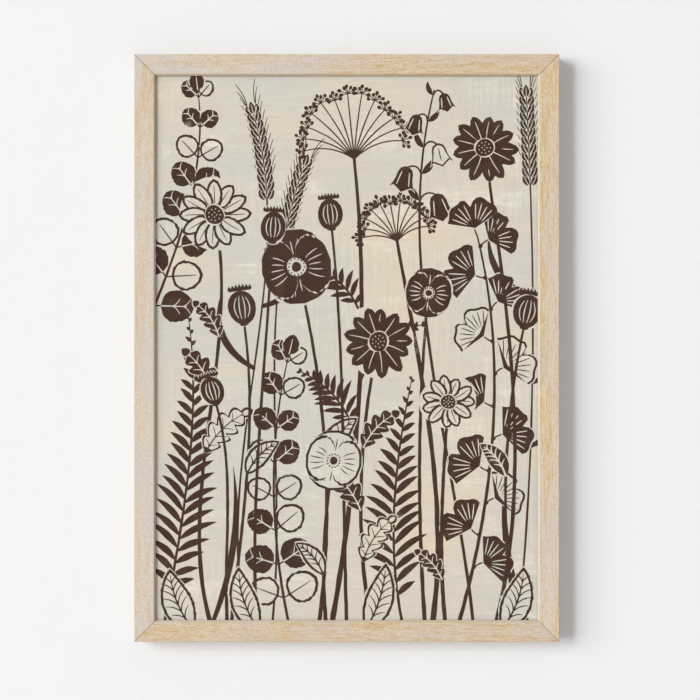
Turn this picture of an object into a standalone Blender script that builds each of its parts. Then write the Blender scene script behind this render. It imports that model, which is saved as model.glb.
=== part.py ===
"""A framed botanical print that hangs on a wall.

Four mitred wooden rails hold a glass pane, a printed sheet and a backing board in their rabbet.
Spring tabs keep the board in, V-nails hold the mitres, and a sawtooth hanger on the top rail
hooks over a nail in the wall. Metres, +Z up. The front faces -Y, the wall is the plane Y = 0,
and the origin is the point of the wall nail that the hanger's middle notch rests on.
"""

import math

import bmesh
import bpy
from mathutils import Matrix, Vector

MM = 0.001

# Two pieces that touch keep this gap, and a piece let into wood has it all round.
GAP = 0.3 * MM

# Points closer than MERGE are one point, faces that turn by less than FLAT_ANGLE are one flat face,
# and faces that turn by more than SHARP_ANGLE meet in a sharp edge.
MERGE = 0.001 * MM
FLAT_ANGLE = math.radians(0.5)
SHARP_ANGLE = math.radians(25)

# The printed sheet is ISO A2. The rails cover its edges by LIP_OVERLAP.
SHEET_WIDTH = 420 * MM
SHEET_HEIGHT = 594 * MM
LIP_OVERLAP = 5 * MM
SHEET_PLAY = 1 * MM

# The moulding's section: its width across the face and its depth from front to back.
RAIL_WIDTH = 23 * MM
RAIL_DEPTH = 26 * MM
LIP_THICKNESS = 2.5 * MM
OUTER_ROUND = 1.0 * MM
BACK_ROUND = 0.6 * MM
INNER_CHAMFER = 1.9 * MM
ROUND_STEPS = 4

# What the rabbet holds, from the front to the back.
PANE_THICKNESS = 1.5 * MM
SHEET_THICKNESS = 0.3 * MM
BOARD_THICKNESS = 3.0 * MM

# Rubber bumpers at the lower corners hold the frame off the wall.
BUMPER_THICKNESS = 2.7 * MM
BUMPER_RADIUS = 5.0 * MM
BUMPER_ROUND = 0.8 * MM
BUMPER_INSET = 8.5 * MM

# The sawtooth hanger, a bent steel strip with two round-headed nails.
HANGER_LENGTH = 46 * MM
HANGER_HEIGHT = 10 * MM
HANGER_STEEL = 0.8 * MM
HANGER_FOOT = 9 * MM
HANGER_RAMP = 2.5 * MM
HANGER_RISE = 1.4 * MM
HANGER_NAIL_INSET = 4.5 * MM
TOOTH_COUNT = 9
TOOTH_PITCH = 2.5 * MM
TOOTH_DEPTH = 1.6 * MM
NAIL_HEAD_RADIUS = 2.0 * MM
NAIL_HEAD_THICKNESS = 0.8 * MM
NAIL_SHANK_RADIUS = 0.75 * MM
NAIL_LENGTH = 12 * MM
NAIL_POINT = 2.5 * MM

# The spring tabs, flat steel points driven into the wall of the rabbet over the board.
TAB_STEEL = 0.5 * MM
TAB_WIDTH = 11 * MM
TAB_REACH = 15 * MM
TAB_BITE = 5 * MM
TAB_END_ROUND = 3.0 * MM
TABS_ACROSS = 2
TABS_ALONG = 3

# The V-nails, two in the back of each mitre.
V_WING = 5.0 * MM
V_STEEL = 0.5 * MM
V_DEPTH = 7.0 * MM
V_PLACES = (4.5 * MM, 9.5 * MM)

# Sizes that follow from those above.
OPENING_WIDTH = SHEET_WIDTH - 2 * LIP_OVERLAP
OPENING_HEIGHT = SHEET_HEIGHT - 2 * LIP_OVERLAP
FRAME_WIDTH = OPENING_WIDTH + 2 * RAIL_WIDTH
FRAME_HEIGHT = OPENING_HEIGHT + 2 * RAIL_WIDTH
RABBET_WIDTH = LIP_OVERLAP + SHEET_PLAY
BACK_WIDTH = RAIL_WIDTH - RABBET_WIDTH
BACK_Y = -(BUMPER_THICKNESS + GAP)
FRONT_Y = BACK_Y - RAIL_DEPTH
HANGER_DROP = (BACK_WIDTH + HANGER_HEIGHT) / 2 - TOOTH_DEPTH
TOP_Z = HANGER_DROP
BOTTOM_Z = TOP_Z - FRAME_HEIGHT
MIDDLE_Z = (TOP_Z + BOTTOM_Z) / 2
RIGHT_X = FRAME_WIDTH / 2
PANE_Y = FRONT_Y + LIP_THICKNESS + GAP
SHEET_Y = PANE_Y + PANE_THICKNESS + GAP
BOARD_Y = SHEET_Y + SHEET_THICKNESS + GAP
TAB_Y = BOARD_Y + BOARD_THICKNESS + GAP

PART = bpy.data.collections.new("framed_botanical_print")
CUTTERS = bpy.data.collections.new("cutters")


def clear_scene():
    """An empty scene with the two collections in it."""
    for thing in list(bpy.data.objects):
        bpy.data.objects.remove(thing)
    for collection in (PART, CUTTERS):
        bpy.context.scene.collection.children.link(collection)
    CUTTERS.hide_render = True


def material(name, colour, roughness, metallic=0.0, transmission=0.0):
    """One finish, as a Principled shader."""
    made = bpy.data.materials.new(name)
    made.use_nodes = True
    shader = made.node_tree.nodes["Principled BSDF"]
    shader.inputs["Base Color"].default_value = (*colour, 1.0)
    shader.inputs["Roughness"].default_value = roughness
    shader.inputs["Metallic"].default_value = metallic
    shader.inputs["Transmission Weight"].default_value = transmission
    made.diffuse_color = (*colour, 1.0)
    return made


def finishes():
    """The materials by name."""
    return {
        "wood": material("pale_wood", (0.66, 0.56, 0.42), 0.55),
        "glass": material("clear_glass", (0.95, 0.97, 0.96), 0.03, transmission=1.0),
        "paper": material("printed_paper", (0.62, 0.58, 0.49), 0.8),
        "board": material("brown_fibreboard", (0.28, 0.17, 0.09), 0.75),
        "steel": material("plated_steel", (0.60, 0.58, 0.54), 0.35, metallic=1.0),
        "rubber": material("soft_black_rubber", (0.03, 0.03, 0.03), 0.6),
    }


def frame_of(along_x, along_y, origin):
    """The matrix that puts local X and Y along two square directions, with local Z square to both."""
    x, y = Vector(along_x), Vector(along_y)
    rotation = Matrix((x, y, x.cross(y))).transposed().to_4x4()
    return Matrix.Translation(origin) @ rotation


def facing_wall(x, y, z):
    """Local X along the world's X, local Y up, and local Z towards the viewer."""
    return frame_of((1, 0, 0), (0, 0, 1), (x, y, z))


def arc(centre, radius, start, end, steps=ROUND_STEPS):
    """Points of an arc in the plane, from one angle to the other in degrees, both ends included."""
    angles = [math.radians(start + (end - start) * i / steps) for i in range(steps + 1)]
    return [(centre[0] + radius * math.cos(a), centre[1] + radius * math.sin(a)) for a in angles]


def rectangle(width, height):
    """A rectangle about the origin."""
    x, y = width / 2, height / 2
    return [(-x, -y), (x, -y), (x, y), (-x, y)]


def solid_from(guide, matrix, finish, cutter):
    """A closed mesh of the shape that a guide gives, put in the model or among the cutters."""
    CUTTERS.objects.link(guide)
    bpy.context.view_layer.update()
    graph = bpy.context.evaluated_depsgraph_get()
    mesh = bpy.data.meshes.new_from_object(guide.evaluated_get(graph))
    name = guide.name
    bpy.data.objects.remove(guide)
    solid = bmesh.new()
    solid.from_mesh(mesh)
    bmesh.ops.remove_doubles(solid, verts=solid.verts, dist=MERGE)
    bmesh.ops.dissolve_limit(solid, angle_limit=FLAT_ANGLE, verts=solid.verts, edges=solid.edges)
    bmesh.ops.recalc_face_normals(solid, faces=solid.faces)
    solid.to_mesh(mesh)
    solid.free()
    mesh.name = name
    thing = bpy.data.objects.new(name, mesh)
    thing.matrix_world = matrix
    if cutter:
        mesh.shade_flat()
        thing.hide_render = True
        thing.display_type = "WIRE"
        CUTTERS.objects.link(thing)
    else:
        mesh.shade_smooth()
        mesh.set_sharp_from_angle(angle=SHARP_ANGLE)
        mesh.materials.append(finish)
        PART.objects.link(thing)
    return thing


def plate(name, outline, thickness, matrix, finish=None, cutter=False):
    """A flat outline given its thickness, half of it each way along local Z."""
    curve = bpy.data.curves.new(name, "CURVE")
    curve.dimensions = "2D"
    curve.fill_mode = "BOTH"
    curve.extrude = thickness / 2
    spline = curve.splines.new("POLY")
    spline.points.add(len(outline) - 1)
    for point, (x, y) in zip(spline.points, outline):
        point.co = (x, y, 0.0, 1.0)
    spline.use_cyclic_u = True
    return solid_from(bpy.data.objects.new(name, curve), matrix, finish, cutter)


def turned(name, profile, matrix, finish=None, cutter=False, steps=24):
    """A round solid about local Z from (radius, height) points that run down its outer side."""
    mesh = bpy.data.meshes.new(name)
    points = [(radius, 0.0, height) for radius, height in profile]
    mesh.from_pydata(points, [(i, i + 1) for i in range(len(points) - 1)], [])
    guide = bpy.data.objects.new(name, mesh)
    screw = guide.modifiers.new("turn", "SCREW")
    screw.axis = "Z"
    screw.steps = screw.render_steps = steps
    screw.use_merge_vertices = True
    screw.merge_threshold = MERGE
    return solid_from(guide, matrix, finish, cutter)


def cut(thing, *cutters):
    """Takes cutters away from a solid."""
    for cutter in cutters:
        boolean = thing.modifiers.new("cut_" + cutter.name, "BOOLEAN")
        boolean.operation = "DIFFERENCE"
        boolean.object = cutter


def moulding_profile():
    """The rail's section: X runs in from the outer edge, and Y runs back from the front face."""
    lip, shelf, back = RAIL_WIDTH, BACK_WIDTH, RAIL_DEPTH
    outer_front = arc((OUTER_ROUND, OUTER_ROUND), OUTER_ROUND, 180, 270)
    chamfer = [(lip - INNER_CHAMFER, 0.0), (lip, INNER_CHAMFER)]
    rabbet = [(lip, LIP_THICKNESS), (shelf, LIP_THICKNESS), (shelf, back)]
    outer_back = arc((BACK_ROUND, back - BACK_ROUND), BACK_ROUND, 90, 180)
    return outer_front + chamfer + rabbet + outer_back


def rail(name, inward, outer_length, outer_middle, finish):
    """One rail. Its ends are mitred: each point's reach shrinks by how far in it lies."""
    matrix = frame_of(inward, (0, 1, 0), outer_middle)
    thing = plate(name, moulding_profile(), outer_length, matrix, finish)
    joint_gap = GAP / 2 * math.sqrt(2)
    for vertex in thing.data.vertices:
        reach = outer_length / 2 - vertex.co.x - joint_gap
        vertex.co.z = math.copysign(reach, vertex.co.z)
    return thing


def rails(finish):
    """The four rails by side."""
    return {
        "top": rail("rail_top", (0, 0, -1), FRAME_WIDTH, (0, FRONT_Y, TOP_Z), finish),
        "bottom": rail("rail_bottom", (0, 0, 1), FRAME_WIDTH, (0, FRONT_Y, BOTTOM_Z), finish),
        "left": rail("rail_left", (1, 0, 0), FRAME_HEIGHT, (-RIGHT_X, FRONT_Y, MIDDLE_Z), finish),
        "right": rail("rail_right", (-1, 0, 0), FRAME_HEIGHT, (RIGHT_X, FRONT_Y, MIDDLE_Z), finish),
    }


def sheets(finish):
    """The pane, the print and the board, which lie one behind the other in the rabbet."""
    for name, front, thickness, kind in (
        ("glass_pane", PANE_Y, PANE_THICKNESS, "glass"),
        ("botanical_print", SHEET_Y, SHEET_THICKNESS, "paper"),
        ("backing_board", BOARD_Y, BOARD_THICKNESS, "board"),
    ):
        where = facing_wall(0, front + thickness / 2, MIDDLE_Z)
        plate(name, rectangle(SHEET_WIDTH, SHEET_HEIGHT), thickness, where, finish[kind])


def tab_outline():
    """A spring tab, flat: its rounded free end at +X, and its point in the wood at -X."""
    half = TAB_WIDTH / 2
    free_end = arc((TAB_REACH - TAB_END_ROUND, half - TAB_END_ROUND), TAB_END_ROUND, 90, 0)
    free_end += arc((TAB_REACH - TAB_END_ROUND, TAB_END_ROUND - half), TAB_END_ROUND, 0, -90)
    point = [(0.0, -half), (-TAB_BITE, -half / 3), (-TAB_BITE, half / 3), (0.0, half)]
    return free_end + point


def spread(count, length):
    """Places along a side, evenly spaced about its middle."""
    return [length * ((i + 0.5) / count - 0.5) for i in range(count)]


def spring_tabs(frame_rails, finish):
    """The tabs of each side, and the slot in its rail for each."""
    inner_x, inner_z = RIGHT_X - BACK_WIDTH, FRAME_HEIGHT / 2 - BACK_WIDTH
    sides = (
        ("top", (0, 0, -1), TABS_ACROSS, OPENING_WIDTH),
        ("bottom", (0, 0, 1), TABS_ACROSS, OPENING_WIDTH),
        ("left", (1, 0, 0), TABS_ALONG, OPENING_HEIGHT),
        ("right", (-1, 0, 0), TABS_ALONG, OPENING_HEIGHT),
    )
    for side, inward, count, length in sides:
        inward = Vector(inward)
        wall = Vector((-inward.x * inner_x, TAB_Y + TAB_STEEL / 2, MIDDLE_Z - inward.z * inner_z))
        along = Vector((0, 1, 0)).cross(inward)
        for number, offset in enumerate(spread(count, length), 1):
            origin = wall + along * offset
            matrix = frame_of(inward, along, origin)
            name = f"spring_tab_{side}_{number}"
            plate(name, tab_outline(), TAB_STEEL, matrix, finish)
            slot = rectangle(2 * (TAB_BITE + GAP), TAB_WIDTH + 2 * GAP)
            slot_depth = TAB_STEEL + 2 * GAP
            cutter = plate(name + "_slot", slot, slot_depth, matrix, cutter=True)
            cut(frame_rails[side], cutter)


def v_outline(grow=0.0):
    """A V-nail seen from behind: two square wings along local X and Y from the mitre."""
    near, far, end = -V_STEEL / 2 - grow, V_STEEL / 2 + grow, V_WING + grow
    return [(near, near), (end, near), (end, far), (far, far), (far, end), (near, end)]


def v_nails(frame_rails, finish):
    """Two V-nails in the back of each mitre. Each takes a slot from both rails that meet there."""
    for vertical, up in (("top", 1), ("bottom", -1)):
        corner_z = TOP_Z if up > 0 else BOTTOM_Z
        for side, outward in (("left", -1), ("right", 1)):
            for number, inset in enumerate(V_PLACES, 1):
                x, z = outward * (RIGHT_X - inset), corner_z - up * inset
                y = BACK_Y - GAP - V_DEPTH / 2
                # The wings run away from the corner. Local Z points to the wall whichever comes first.
                wings = [(-outward, 0, 0), (0, 0, -up)]
                if outward * up < 0:
                    wings.reverse()
                name = f"v_nail_{vertical}_{side}_{number}"
                matrix = frame_of(wings[0], wings[1], (x, y, z))
                plate(name, v_outline(), V_DEPTH, matrix, finish)
                # The slot ends a gap past the nail's inner end, and it runs out through the back.
                shifted = Matrix.Translation((0, GAP, 0)) @ matrix
                slot_depth = V_DEPTH + 4 * GAP
                cutter = plate(name + "_slot", v_outline(GAP), slot_depth, shifted, cutter=True)
                cut(frame_rails[vertical], cutter)
                cut(frame_rails[side], cutter)


def strip_outline():
    """The hanger seen from above: a strip with two flat feet and a middle raised off the wood."""
    half, foot = HANGER_LENGTH / 2, HANGER_FOOT
    centre_line = [
        (-half, 0.0),
        (foot - half, 0.0),
        (foot - half + HANGER_RAMP, HANGER_RISE),
        (half - foot - HANGER_RAMP, HANGER_RISE),
        (half - foot, 0.0),
        (half, 0.0),
    ]
    return centre_line + [(x, y + HANGER_STEEL) for x, y in reversed(centre_line)]


def tooth_cutter(lower_z, y):
    """The comb of notches that leaves the teeth along the hanger's lower edge."""
    half = TOOTH_COUNT * TOOTH_PITCH / 2
    notches = [(half, -TOOTH_DEPTH), (-half, -TOOTH_DEPTH), (-half, 0.0)]
    for i in range(TOOTH_COUNT):
        left = -half + i * TOOTH_PITCH
        notches += [(left + TOOTH_PITCH / 2, TOOTH_DEPTH), (left + TOOTH_PITCH, 0.0)]
    # Half of this each way from the feet passes through the raised strip.
    depth = 4 * (HANGER_RISE + HANGER_STEEL)
    return plate("hanger_notches", notches, depth, facing_wall(0, y, lower_z), cutter=True)


def nail_profile():
    """A round-headed nail: its domed head above local Z = 0, and its shank and point below."""
    dome = [(NAIL_HEAD_RADIUS * x, NAIL_HEAD_THICKNESS * y) for x, y in arc((0, 0), 1, 90, 0)]
    shank = [(NAIL_SHANK_RADIUS, 0.0), (NAIL_SHANK_RADIUS, NAIL_POINT - NAIL_LENGTH)]
    return dome + shank + [(0.0, -NAIL_LENGTH)]


def hanger(top_rail, finish):
    """The sawtooth hanger on the back of the top rail, its two nails and the holes that they need."""
    foot_y = BACK_Y + GAP
    lower_z = -TOOTH_DEPTH
    middle_z = lower_z + HANGER_HEIGHT / 2
    lying = frame_of((1, 0, 0), (0, 1, 0), (0, foot_y, middle_z))
    strip = plate("sawtooth_hanger", strip_outline(), HANGER_HEIGHT, lying, finish)
    cut(strip, tooth_cutter(lower_z, foot_y))
    head_y = foot_y + HANGER_STEEL + GAP
    hole_radius = NAIL_SHANK_RADIUS + GAP
    hole_start, hole_end = 2 * HANGER_STEEL, -NAIL_LENGTH - GAP
    hole = [(0.0, hole_start), (hole_radius, hole_start), (hole_radius, hole_end), (0.0, hole_end)]
    for side, sign in (("left", -1), ("right", 1)):
        x = sign * (HANGER_LENGTH / 2 - HANGER_NAIL_INSET)
        into_wood = Matrix.Translation((x, head_y, middle_z)) @ Matrix.Rotation(-math.pi / 2, 4, "X")
        turned(f"hanger_nail_{side}", nail_profile(), into_wood, finish)
        drill = turned(f"hanger_nail_{side}_hole", hole, into_wood, cutter=True)
        cut(strip, drill)
        cut(top_rail, drill)


def bumpers(finish):
    """Two round bumpers on the back of the lower corners. Their flat ends lie in the wall's plane."""
    rim = BUMPER_RADIUS - BUMPER_ROUND
    profile = [(0.0, 0.0)]
    profile += arc((rim, -BUMPER_ROUND), BUMPER_ROUND, 90, 0)
    profile += [(BUMPER_RADIUS, -BUMPER_THICKNESS), (0.0, -BUMPER_THICKNESS)]
    z = BOTTOM_Z + BUMPER_INSET
    for side, sign in (("left", -1), ("right", 1)):
        x = sign * (RIGHT_X - BUMPER_INSET - RAIL_WIDTH)
        towards_wall = Matrix.Translation((x, 0, z)) @ Matrix.Rotation(-math.pi / 2, 4, "X")
        turned(f"bumper_{side}", profile, towards_wall, finish, steps=32)


def main():
    clear_scene()
    finish = finishes()
    frame_rails = rails(finish["wood"])
    sheets(finish)
    spring_tabs(frame_rails, finish["steel"])
    v_nails(frame_rails, finish["steel"])
    hanger(frame_rails["top"], finish["steel"])
    bumpers(finish["rubber"])


main()
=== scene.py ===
import cmath
import math
import random

import bmesh
import bpy
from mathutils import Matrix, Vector
from mathutils.geometry import delaunay_2d_cdt


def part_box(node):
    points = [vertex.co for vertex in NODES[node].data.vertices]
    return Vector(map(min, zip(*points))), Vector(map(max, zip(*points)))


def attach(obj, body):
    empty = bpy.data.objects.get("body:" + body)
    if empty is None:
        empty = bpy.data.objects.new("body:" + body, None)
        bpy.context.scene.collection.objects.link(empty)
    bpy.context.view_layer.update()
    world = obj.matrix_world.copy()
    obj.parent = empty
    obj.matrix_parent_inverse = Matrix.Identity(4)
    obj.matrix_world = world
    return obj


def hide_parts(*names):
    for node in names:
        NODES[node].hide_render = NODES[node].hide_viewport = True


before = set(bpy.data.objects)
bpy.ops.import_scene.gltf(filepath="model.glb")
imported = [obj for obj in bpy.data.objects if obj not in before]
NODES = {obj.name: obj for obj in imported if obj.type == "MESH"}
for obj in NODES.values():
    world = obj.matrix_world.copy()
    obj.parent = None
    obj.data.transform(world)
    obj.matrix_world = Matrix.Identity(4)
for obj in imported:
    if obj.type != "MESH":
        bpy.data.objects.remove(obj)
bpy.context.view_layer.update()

MM = 0.001

# The frame's own measures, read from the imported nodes.
RAIL_LOW, RAIL_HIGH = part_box("rail_left")
FRONT_Y = RAIL_LOW.y
RAIL_WIDTH = RAIL_HIGH.x - RAIL_LOW.x
SHEET_LOW, SHEET_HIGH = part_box("botanical_print")
SHEET_WIDTH = SHEET_HIGH.x - SHEET_LOW.x
SHEET_HEIGHT = SHEET_HIGH.z - SHEET_LOW.z
HALF_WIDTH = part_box("rail_right")[1].x
MIDDLE_Z = (SHEET_LOW.z + SHEET_HIGH.z) / 2
HALF_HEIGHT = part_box("rail_top")[1].z - MIDDLE_Z

# The chamfer at the rails' inner edges, which no node's box gives.
CHAMFER = 1.9 * MM


# Small helpers that build shader nodes.

class Shader:
    """A material's node tree, with one method for each kind of node that the finishes need."""

    def __init__(self, name):
        self.material = bpy.data.materials.new(name)
        self.material.use_nodes = True
        self.tree = self.material.node_tree
        self.surface = self.tree.nodes["Principled BSDF"]

    def node(self, kind, settings=(), **inputs):
        made = self.tree.nodes.new(kind)
        for key, value in dict(settings).items():
            setattr(made, key, value)
        for key, value in inputs.items():
            self.feed(made.inputs[key.replace("_", " ")], value)
        return made

    def feed(self, socket, value):
        if isinstance(value, bpy.types.NodeSocket):
            self.tree.links.new(value, socket)
        else:
            socket.default_value = value

    def place(self):
        """The point on the object in metres, in the frame that the model is built in."""
        return self.node("ShaderNodeTexCoord").outputs["Object"]

    def split(self, vector):
        return self.node("ShaderNodeSeparateXYZ", Vector=vector).outputs

    def join(self, x, y, z):
        made = self.node("ShaderNodeCombineXYZ")
        for socket, value in zip(made.inputs, (x, y, z)):
            self.feed(socket, value)
        return made.outputs[0]

    def stretch(self, vector, scale, shift=(0, 0, 0)):
        """A place in cycles of a noise, from its cycles per metre on each axis."""
        made = self.node("ShaderNodeMapping")
        self.feed(made.inputs["Vector"], vector)
        made.inputs["Location"].default_value = shift
        made.inputs["Scale"].default_value = scale
        return made.outputs[0]

    def noise(self, vector, detail=2.0, rough=0.5, twist=0.0):
        made = self.node("ShaderNodeTexNoise", Vector=vector, Scale=1.0, Detail=detail)
        made.inputs["Roughness"].default_value = rough
        made.inputs["Distortion"].default_value = twist
        return made.outputs["Fac"]

    def math(self, operation, a, b=0.0, clamp=False):
        made = self.node("ShaderNodeMath", {"operation": operation, "use_clamp": clamp})
        self.feed(made.inputs[0], a)
        self.feed(made.inputs[1], b)
        return made.outputs[0]

    def ramp(self, value, low, high, start=0.0, end=1.0, smooth=True):
        """A value taken from low..high to start..end and held there."""
        kind = "SMOOTHSTEP" if smooth else "LINEAR"
        made = self.node("ShaderNodeMapRange", {"interpolation_type": kind}, Value=value)
        for key, number in zip(("From Min", "From Max", "To Min", "To Max"), (low, high, start, end)):
            made.inputs[key].default_value = number
        return made.outputs[0]

    def mix(self, factor, a, b):
        made = self.node("ShaderNodeMix", {"data_type": "RGBA"})
        self.feed(made.inputs["Factor"], factor)
        for key, value in (("A", a), ("B", b)):
            socket = [s for s in made.inputs if s.name == key and s.type == "RGBA"][0]
            self.feed(socket, value if isinstance(value, bpy.types.NodeSocket) else (*value, 1.0))
        return [s for s in made.outputs if s.type == "RGBA"][0]

    def tone(self, colour, factor):
        """A colour made lighter or darker by a factor."""
        made = self.node("ShaderNodeVectorMath", {"operation": "SCALE"}, Vector=colour)
        self.feed(made.inputs["Scale"], factor)
        return made.outputs[0]

    def bump(self, height, distance, strength=1.0, under=None):
        made = self.node("ShaderNodeBump", Height=height, Distance=distance, Strength=strength)
        if under is not None:
            self.feed(made.inputs["Normal"], under)
        return made.outputs[0]

    def blend(self, factor, a, b):
        made = self.node("ShaderNodeMixShader")
        for socket, value in zip(made.inputs, (factor, a, b)):
            self.feed(socket, value)
        return made.outputs[0]

    def set(self, **inputs):
        for key, value in inputs.items():
            self.feed(self.surface.inputs[key.replace("_", " ")], value)
        return self.material


# Wood.

WOOD_GREY = (0.560, 0.518, 0.475)
WOOD_CREAM = (0.605, 0.540, 0.450)
WOOD_GOLD = (0.635, 0.470, 0.265)
WOOD_AMBER = (0.525, 0.355, 0.165)
WOOD_BROWN = (0.260, 0.165, 0.105)


def heart_streak(s, length, across, end, centre, reach, fade):
    """A golden streak along a rail, which fades in over the last stretch before the rail's end."""
    off_centre = s.math("ABSOLUTE", s.math("SUBTRACT", across, centre))
    strength = s.ramp(off_centre, reach / 2, reach, 0.50, 0.0)
    return s.math("MULTIPLY", strength, s.ramp(length, end - fade, end - fade / 3))


def edges(s, x, y, z):
    """The chamfer's painted light and shade, and how dark the wood is: mitre glue lines and painted
    shade at the glass.
    """
    joint_core, joint_reach, blur = 0.2 * MM, 0.7 * MM, 0.1 * MM
    line_start, line_core, past_chamfer = 0.25 * MM, 0.05 * MM, 0.3 * MM
    from_top = s.math("SUBTRACT", s.math("ABSOLUTE", s.math("SUBTRACT", z, MIDDLE_Z)), HALF_HEIGHT)
    from_side = s.math("SUBTRACT", s.math("ABSOLUTE", x), HALF_WIDTH)
    off_mitre = s.math("ABSOLUTE", s.math("SUBTRACT", from_top, from_side))
    joint = s.ramp(off_mitre, joint_core, joint_reach, 0.35, 0.0)
    into = s.math("MULTIPLY", s.math("MAXIMUM", from_top, from_side), -1.0)
    start = RAIL_WIDTH - CHAMFER
    # Painted light and shade: how far the chamfer leans to the colour given for it.
    chamfer_painted_light = s.ramp(into, start - blur, start + blur, 0.0, 0.5)
    # Painted shade on the lip's inner face, behind the chamfer and next to the glass.
    painted_shade_at_glass = s.ramp(into, RAIL_WIDTH - line_start, RAIL_WIDTH - line_core)
    painted_shade_deep = s.ramp(y, FRONT_Y + 0.8 * CHAMFER, FRONT_Y + CHAMFER + past_chamfer, 0.0, 0.55)
    return chamfer_painted_light, s.math("MAXIMUM", joint, s.math("MULTIPLY", painted_shade_at_glass, painted_shade_deep))


def wood(name, along, seed, gold, drift_to_gold=0.0, lightness=1.0, heart=None, chamfer_light_shade_colour=WOOD_GREY):
    """Pale wood with its grain along one axis: 0 for X and 2 for Z.

    The share of gold grows by drift_to_gold from the start of the rail to its end. A heart is where a
    golden streak lies across the rail, its reach to each side, and how far before the end it starts.
    The last argument is the chamfer's painted light and shade colour: pale when lit, amber when in
    shade.
    """
    s = Shader(name)
    x, y, z = s.split(s.place())
    length, across = (x, z) if along == 0 else (z, x)
    middle, half_length = (0.0, HALF_WIDTH) if along == 0 else (MIDDLE_Z, HALF_HEIGHT)
    start, end = middle - half_length, middle + half_length

    raw = s.join(length, across, y)
    drift = s.noise(s.stretch(raw, (7, 22, 22), (seed, 0, 0)))
    blotch = s.noise(s.stretch(raw, (11, 30, 30), (seed + 5, 0, 0)))
    wander = 11 * MM
    wavy = s.math("ADD", across, s.math("MULTIPLY", s.math("SUBTRACT", drift, 0.5), wander))
    grain = s.join(length, wavy, y)
    bands = s.noise(s.stretch(grain, (4, 70, 70), (seed + 2, 0, 0)))
    streaks = s.noise(s.stretch(grain, (24, 520, 520), (seed + 1, 0, 0)), detail=3.0, rough=0.6)
    flecks = s.noise(s.stretch(grain, (110, 850, 850), (seed + 4, 0, 0)), rough=0.6)
    pores = s.noise(s.stretch(grain, (400, 1100, 1100), (seed + 6, 0, 0)), detail=1.0)
    fibres = s.noise(s.stretch(grain, (90, 1700, 1700), (seed + 3, 0, 0)), detail=3.0, rough=0.6)

    # Gold gathers in bands, and inside them in streaks and in short flecks.
    golden = s.ramp(length, start, end, gold, gold + drift_to_gold, smooth=False)
    golden = s.math("ADD", golden, s.ramp(bands, 0.3, 0.7, -0.26, 0.26))
    golden = s.math("ADD", golden, s.ramp(blotch, 0.3, 0.7, -0.14, 0.14))
    if heart:
        golden = s.math("ADD", golden, heart_streak(s, length, wavy, end, *heart))
    washed = s.math("MULTIPLY", golden, 0.75, clamp=True)
    near_gold, nearer_gold = s.math("ADD", golden, 0.16), s.math("ADD", golden, 0.30)
    in_streaks = s.math("MULTIPLY", s.ramp(streaks, 0.46, 0.64), near_gold, clamp=True)
    in_flecks = s.math("MULTIPLY", s.ramp(flecks, 0.50, 0.64), nearer_gold, clamp=True)

    colour = s.mix(s.ramp(blotch, 0.35, 0.65), WOOD_GREY, WOOD_CREAM)
    colour = s.mix(washed, colour, WOOD_GOLD)
    colour = s.mix(s.math("MULTIPLY", in_streaks, 0.70), colour, WOOD_AMBER)
    colour = s.mix(s.math("MULTIPLY", in_flecks, 0.95), colour, WOOD_AMBER)
    light_fibres = s.ramp(fibres, 0.25, 0.75, -0.05, 0.05, smooth=False)
    fine = s.math("ADD", light_fibres, s.ramp(pores, 0.3, 0.7, 0.90, 1.10))
    colour = s.tone(colour, s.math("MULTIPLY", fine, lightness))

    chamfer_painted_light, joint_and_painted_shade = edges(s, x, y, z)
    # Painted light and shade on the chamfer: paler where it is lit, amber where it lies in shade.
    colour = s.mix(chamfer_painted_light, colour, chamfer_light_shade_colour)
    # Mix in the dark mitre glue lines and the painted shade at the glass.
    colour = s.mix(joint_and_painted_shade, colour, WOOD_BROWN)
    relief = s.math("ADD", s.math("MULTIPLY", fibres, 0.6), s.math("MULTIPLY", pores, 0.4))
    return s.set(
        Base_Color=colour,
        Roughness=s.ramp(fibres, 0.2, 0.8, 0.50, 0.64, smooth=False),
        Specular_IOR_Level=0.35,
        Normal=s.bump(relief, 0.08 * MM, 0.5),
    )


# What the rabbet holds.

def glass():
    """Clear glass. Shadow and diffuse rays pass straight through, so that the print behind is lit."""
    s = Shader("float_glass")
    smears = s.noise(s.stretch(s.place(), (30, 30, 30)), detail=3.0)
    s.set(
        Base_Color=(1.0, 1.0, 1.0, 1.0),
        Roughness=s.ramp(smears, 0.3, 0.7, 0.0, 0.02),
        IOR=1.5,
        Specular_Tint=(0.2, 0.2, 0.2, 1.0),
        Transmission_Weight=1.0,
    )
    clear = s.node("ShaderNodeBsdfTransparent", Color=(0.96, 0.97, 0.965, 1.0)).outputs[0]
    path = s.node("ShaderNodeLightPath").outputs
    shown = s.blend(path["Is Diffuse Ray"], s.surface.outputs[0], clear)
    shown = s.blend(path["Is Shadow Ray"], shown, clear)
    s.feed(s.tree.nodes["Material Output"].inputs["Surface"], shown)
    return s.material


PAPER_GREY = (0.655, 0.588, 0.490)
PAPER_COOL = (0.615, 0.582, 0.512)
PAPER_WARM = (0.725, 0.610, 0.452)
PAPER_LIGHT = (0.790, 0.722, 0.602)
INK_BROWN = (0.052, 0.023, 0.013)
INK_LIGHT = (0.110, 0.070, 0.050)


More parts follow.
